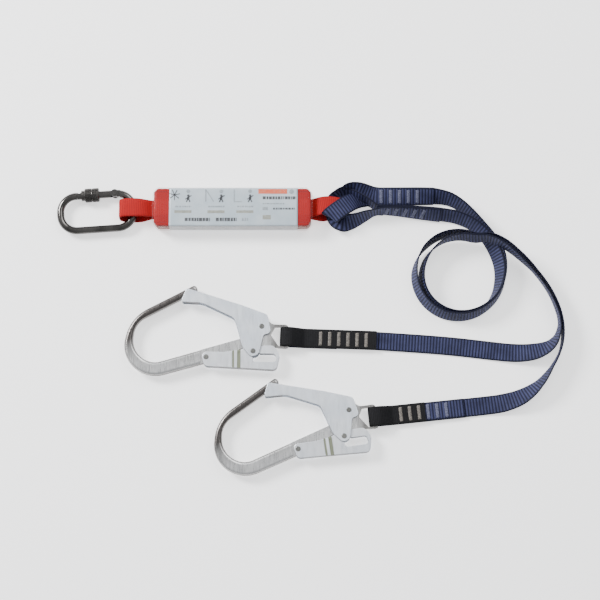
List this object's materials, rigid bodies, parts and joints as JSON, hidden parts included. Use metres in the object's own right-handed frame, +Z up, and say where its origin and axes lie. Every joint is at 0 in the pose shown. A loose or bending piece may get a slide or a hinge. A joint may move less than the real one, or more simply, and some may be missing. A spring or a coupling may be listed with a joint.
{
  "type": "shock absorbing lanyard",
  "caption": "Twin-tail shock absorbing lanyard: screw-lock carabiner, folded tear-webbing absorber in a clear cover, coiled webbing tails and large scaffold hooks.",
  "frame": {"origin": "middle of the absorber pack's underside, on the surface that the lanyard lies on", "axes": "+X along the pack from the carabiner towards the tails, +Y across the pack away from the hooks, +Z up from the surface"},
  "size_m": [0.6868, 0.3956, 0.044],
  "materials": {
    "red_webbing": "woven polyester",
    "navy_webbing": "woven polyamide",
    "black_webbing": "woven polyester wear strip",
    "sewing_thread": "bar-tacked thread",
    "clear_film": "clear shrink film",
    "label_print": "printed sleeve",
    "dark_steel": "dark plated, polished",
    "knurled_steel": "dark plated, knurled",
    "hook_alloy": "forged, polished",
    "gate_steel": "zinc-plated pressing",
    "rivet_steel": "satin",
    "spring_steel": "satin wire"
  },
  "bodies": {
    "absorber": {"clear_cover": "clear_film", "label_sleeve": "label_print", "tear_webbing": "red_webbing", "pack_stitching": "sewing_thread", "harness_loop": "red_webbing", "tail_loop": "red_webbing", "tail_b_eye": "navy_webbing", "tail_a_eye": "navy_webbing", "tail_b_sewn_end": "navy_webbing", "tail_a_sewn_end": "navy_webbing", "tail_b_tacks": "sewing_thread", "tail_a_tacks": "sewing_thread", "tail_b_lead": "navy_webbing", "tail_a_lead": "navy_webbing", "tail_coil": "navy_webbing", "tail_a_run": "navy_webbing", "tail_b_run": "navy_webbing", "hook_a_end_fold": "navy_webbing", "hook_a_wear_strip": "black_webbing", "hook_a_end_tacks": "sewing_thread", "hook_b_end_fold": "navy_webbing", "hook_b_wear_strip": "black_webbing", "hook_b_end_tacks": "sewing_thread"},
    "carabiner": {"carabiner_body": "dark_steel", "carabiner_nose_pin": "dark_steel", "carabiner_gate_rivet": "dark_steel"},
    "carabiner_gate": {"carabiner_gate": "dark_steel", "carabiner_gate_spring": "spring_steel", "carabiner_gate_plunger": "spring_steel"},
    "carabiner_sleeve": {"carabiner_lock_sleeve": "knurled_steel"},
    "hook_a": {"hook_a_body": "hook_alloy", "hook_a_gate_rivet": "rivet_steel", "hook_a_lever_rivet": "rivet_steel", "hook_a_lever_spring": "spring_steel"},
    "hook_a_gate": {"hook_a_gate": "gate_steel", "hook_a_lock_pin": "rivet_steel", "hook_a_gate_spring": "spring_steel"},
    "hook_a_lever": {"hook_a_lever": "gate_steel"},
    "hook_b": {"hook_b_body": "hook_alloy", "hook_b_gate_rivet": "rivet_steel", "hook_b_lever_rivet": "rivet_steel", "hook_b_lever_spring": "spring_steel"},
    "hook_b_gate": {"hook_b_gate": "gate_steel", "hook_b_lock_pin": "rivet_steel", "hook_b_gate_spring": "spring_steel"},
    "hook_b_lever": {"hook_b_lever": "gate_steel"}
  },
  "joints": [
    {"name": "carabiner_swing", "type": "hinge", "parent": "absorber", "child": "carabiner", "pos_m": [-0.13472, 0.00035, 0.0096], "axis": [-0.0698, 0.9976, 0], "range_deg": [0, 120]},
    {"name": "carabiner_gate_swing", "type": "hinge", "parent": "carabiner", "child": "carabiner_gate", "pos_m": [-0.16044, 0.02261, 0.0096], "axis": [0, 0, 1], "range_deg": [0, 26], "stiffness_Nm_per_rad": 0.1, "springref_deg": -22.92},
    {"name": "lock_sleeve_travel", "type": "slide", "parent": "carabiner_gate", "child": "carabiner_sleeve", "axis": [-0.9976, -0.0698, 0], "range_m": [0, 0.006]},
    {"name": "hook_a_swing", "type": "hinge", "parent": "absorber", "child": "hook_a", "pos_m": [0.0719, -0.1752, 0.01], "axis": [0, 1, 0], "range_deg": [0, 100]},
    {"name": "hook_a_gate_swing", "type": "hinge", "parent": "hook_a", "child": "hook_a_gate", "pos_m": [0.0402, -0.1621, 0.01], "axis": [0, 0, 1], "range_deg": [0, 25], "stiffness_Nm_per_rad": 0.25, "springref_deg": -28.65},
    {"name": "hook_a_lever_squeeze", "type": "hinge", "parent": "hook_a", "child": "hook_a_lever", "pos_m": [-0.0338, -0.2031, 0.01], "axis": [0, 0, 1], "range_deg": [0, 6.75], "stiffness_Nm_per_rad": 0.2, "springref_deg": -17.19, "deforming": ["hook_a_lever_spring"]},
    {"name": "hook_b_swing", "type": "hinge", "parent": "absorber", "child": "hook_b", "pos_m": [0.1893, -0.2825, 0.01], "axis": [-0.1478, 0.989, 0], "range_deg": [0, 100]},
    {"name": "hook_b_gate_swing", "type": "hinge", "parent": "hook_b", "child": "hook_b_gate", "pos_m": [0.15601, -0.27423, 0.01], "axis": [0, 0, 1], "range_deg": [0, 25], "stiffness_Nm_per_rad": 0.25, "springref_deg": -28.65},
    {"name": "hook_b_lever_squeeze", "type": "hinge", "parent": "hook_b", "child": "hook_b_lever", "pos_m": [0.08889, -0.32572, 0.01], "axis": [0, 0, 1], "range_deg": [0, 6.75], "stiffness_Nm_per_rad": 0.2, "springref_deg": -17.19, "deforming": ["hook_b_lever_spring"]}
  ],
  "couplings": [
    {"joint": "hook_a_lever_squeeze", "follows": "hook_a_gate_swing", "ratio": 0.27},
    {"joint": "hook_b_lever_squeeze", "follows": "hook_b_gate_swing", "ratio": 0.27}
  ]
}
